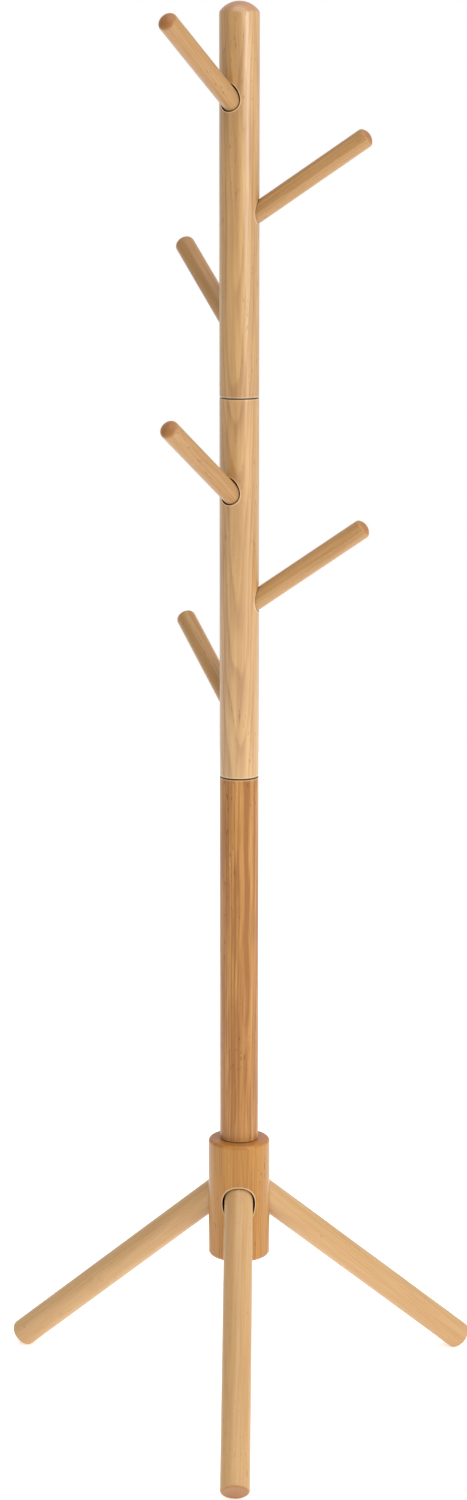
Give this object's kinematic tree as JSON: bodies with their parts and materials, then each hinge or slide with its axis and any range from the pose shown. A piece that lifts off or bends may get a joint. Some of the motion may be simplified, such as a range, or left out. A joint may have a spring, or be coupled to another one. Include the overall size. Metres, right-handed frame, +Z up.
{
  "type": "coat rack",
  "caption": "Free-standing wooden coat rack: a sectional round pole with slanted pegs, screwed into a thick hub on three splayed legs.",
  "frame": {"origin": "on the floor, under the pole's axis", "axes": "+Z up along the pole; the front leg points to -Y, and +X is to the right of a viewer facing +Y"},
  "size_m": [0.453, 0.3959, 1.3072],
  "materials": {
    "hub_wood": "satin lacquer",
    "leg_wood": "satin lacquer",
    "pole_wood": "satin lacquer",
    "peg_wood": "satin lacquer",
    "stud_steel": "zinc plated",
    "insert_brass": "plain"
  },
  "bodies": {
    "base": {"hub": "hub_wood", "leg_front_insert": "insert_brass", "leg_left_insert": "insert_brass", "leg_right_insert": "insert_brass", "pole_lower_insert": "insert_brass"},
    "leg_front_screw": {"leg_front_stud": "stud_steel"},
    "leg_front": {"leg_front": "leg_wood"},
    "leg_left_screw": {"leg_left_stud": "stud_steel"},
    "leg_left": {"leg_left": "leg_wood"},
    "leg_right_screw": {"leg_right_stud": "stud_steel"},
    "leg_right": {"leg_right": "leg_wood"},
    "pole_lower_screw": {"pole_lower_stud": "stud_steel"},
    "pole_lower": {"pole_lower": "pole_wood", "pole_middle_insert": "insert_brass"},
    "pole_middle_screw": {"pole_middle_stud": "stud_steel"},
    "pole_middle": {"pole_middle": "pole_wood", "pole_upper_insert": "insert_brass", "peg_4_insert": "insert_brass", "peg_5_insert": "insert_brass", "peg_6_insert": "insert_brass"},
    "pole_upper_screw": {"pole_upper_stud": "stud_steel"},
    "pole_upper": {"pole_upper": "pole_wood", "peg_1_insert": "insert_brass", "peg_2_insert": "insert_brass", "peg_3_insert": "insert_brass"},
    "peg_1_screw": {"peg_1_stud": "stud_steel"},
    "peg_1": {"peg_1": "peg_wood"},
    "peg_2_screw": {"peg_2_stud": "stud_steel"},
    "peg_2": {"peg_2": "peg_wood"},
    "peg_3_screw": {"peg_3_stud": "stud_steel"},
    "peg_3": {"peg_3": "peg_wood"},
    "peg_4_screw": {"peg_4_stud": "stud_steel"},
    "peg_4": {"peg_4": "peg_wood"},
    "peg_5_screw": {"peg_5_stud": "stud_steel"},
    "peg_5": {"peg_5": "peg_wood"},
    "peg_6_screw": {"peg_6_stud": "stud_steel"},
    "peg_6": {"peg_6": "peg_wood"}
  },
  "joints": [
    {"name": "leg_front_travel", "type": "slide", "parent": "base", "child": "leg_front_screw", "axis": [0, -0.766, -0.6428], "range_m": [0, 0.01125]},
    {"name": "leg_front_turn", "type": "hinge", "parent": "leg_front_screw", "child": "leg_front", "pos_m": [0, 0, 0.22], "axis": [0, -0.766, -0.6428], "range_deg": [0, 3240]},
    {"name": "leg_left_travel", "type": "slide", "parent": "base", "child": "leg_left_screw", "axis": [-0.6634, 0.383, -0.6428], "range_m": [0, 0.01125]},
    {"name": "leg_left_turn", "type": "hinge", "parent": "leg_left_screw", "child": "leg_left", "pos_m": [0, 0, 0.22], "axis": [-0.6634, 0.383, -0.6428], "range_deg": [0, 3240]},
    {"name": "leg_right_travel", "type": "slide", "parent": "base", "child": "leg_right_screw", "axis": [0.6634, 0.383, -0.6428], "range_m": [0, 0.01125]},
    {"name": "leg_right_turn", "type": "hinge", "parent": "leg_right_screw", "child": "leg_right", "pos_m": [0, 0, 0.22], "axis": [0.6634, 0.383, -0.6428], "range_deg": [0, 3240]},
    {"name": "pole_lower_travel", "type": "slide", "parent": "base", "child": "pole_lower_screw", "axis": [0, 0, 1], "range_m": [0, 0.015]},
    {"name": "pole_lower_turn", "type": "hinge", "parent": "pole_lower_screw", "child": "pole_lower", "pos_m": [0, 0, 0.25705], "axis": [0, 0, 1], "range_deg": [0, 4320]},
    {"name": "pole_middle_travel", "type": "slide", "parent": "pole_lower", "child": "pole_middle_screw", "axis": [0, 0, 1], "range_m": [0, 0.015]},
    {"name": "pole_middle_turn", "type": "hinge", "parent": "pole_middle_screw", "child": "pole_middle", "pos_m": [0, 0, 0.6071], "axis": [0, 0, 1], "range_deg": [0, 4320]},
    {"name": "pole_upper_travel", "type": "slide", "parent": "pole_middle", "child": "pole_upper_screw", "axis": [0, 0, 1], "range_m": [0, 0.015]},
    {"name": "pole_upper_turn", "type": "hinge", "parent": "pole_upper_screw", "child": "pole_upper", "pos_m": [0, 0, 0.95715], "axis": [0, 0, 1], "range_deg": [0, 4320]},
    {"name": "peg_1_travel", "type": "slide", "parent": "pole_upper", "child": "peg_1_screw", "axis": [-0.4428, -0.6951, 0.5664], "range_m": [0, 0.012]},
    {"name": "peg_1_turn", "type": "hinge", "parent": "peg_1_screw", "child": "peg_1", "pos_m": [0, 0, 1.21115], "axis": [-0.4428, -0.6951, 0.5664], "range_deg": [0, 4320]},
    {"name": "peg_2_travel", "type": "slide", "parent": "pole_upper", "child": "peg_2_screw", "axis": [0.8233, -0.0359, 0.5664], "range_m": [0, 0.012]},
    {"name": "peg_2_turn", "type": "hinge", "parent": "peg_2_screw", "child": "peg_2", "pos_m": [0, 0, 1.11115], "axis": [0.8233, -0.0359, 0.5664], "range_deg": [0, 4320]},
    {"name": "peg_3_travel", "type": "slide", "parent": "pole_upper", "child": "peg_3_screw", "axis": [-0.3805, 0.731, 0.5664], "range_m": [0, 0.012]},
    {"name": "peg_3_turn", "type": "hinge", "parent": "peg_3_screw", "child": "peg_3", "pos_m": [0, 0, 1.01115], "axis": [-0.3805, 0.731, 0.5664], "range_deg": [0, 4320]},
    {"name": "peg_4_travel", "type": "slide", "parent": "pole_middle", "child": "peg_4_screw", "axis": [-0.4428, -0.6951, 0.5664], "range_m": [0, 0.012]},
    {"name": "peg_4_turn", "type": "hinge", "parent": "peg_4_screw", "child": "peg_4", "pos_m": [0, 0, 0.8611], "axis": [-0.4428, -0.6951, 0.5664], "range_deg": [0, 4320]},
    {"name": "peg_5_travel", "type": "slide", "parent": "pole_middle", "child": "peg_5_screw", "axis": [0.8233, -0.0359, 0.5664], "range_m": [0, 0.012]},
    {"name": "peg_5_turn", "type": "hinge", "parent": "peg_5_screw", "child": "peg_5", "pos_m": [0, 0, 0.7611], "axis": [0.8233, -0.0359, 0.5664], "range_deg": [0, 4320]},
    {"name": "peg_6_travel", "type": "slide", "parent": "pole_middle", "child": "peg_6_screw", "axis": [-0.3805, 0.731, 0.5664], "range_m": [0, 0.012]},
    {"name": "peg_6_turn", "type": "hinge", "parent": "peg_6_screw", "child": "peg_6", "pos_m": [0, 0, 0.6611], "axis": [-0.3805, 0.731, 0.5664], "range_deg": [0, 4320]}
  ],
  "couplings": [
    {"joint": "leg_front_travel", "follows": "leg_front_turn", "m_per_rad": 0.00019894},
    {"joint": "leg_left_travel", "follows": "leg_left_turn", "m_per_rad": 0.00019894},
    {"joint": "leg_right_travel", "follows": "leg_right_turn", "m_per_rad": 0.00019894},
    {"joint": "pole_lower_travel", "follows": "pole_lower_turn", "m_per_rad": 0.00019894},
    {"joint": "pole_middle_travel", "follows": "pole_middle_turn", "m_per_rad": 0.00019894},
    {"joint": "pole_upper_travel", "follows": "pole_upper_turn", "m_per_rad": 0.00019894},
    {"joint": "peg_1_travel", "follows": "peg_1_turn", "m_per_rad": 0.00015915},
    {"joint": "peg_2_travel", "follows": "peg_2_turn", "m_per_rad": 0.00015915},
    {"joint": "peg_3_travel", "follows": "peg_3_turn", "m_per_rad": 0.00015915},
    {"joint": "peg_4_travel", "follows": "peg_4_turn", "m_per_rad": 0.00015915},
    {"joint": "peg_5_travel", "follows": "peg_5_turn", "m_per_rad": 0.00015915},
    {"joint": "peg_6_travel", "follows": "peg_6_turn", "m_per_rad": 0.00015915}
  ]
}
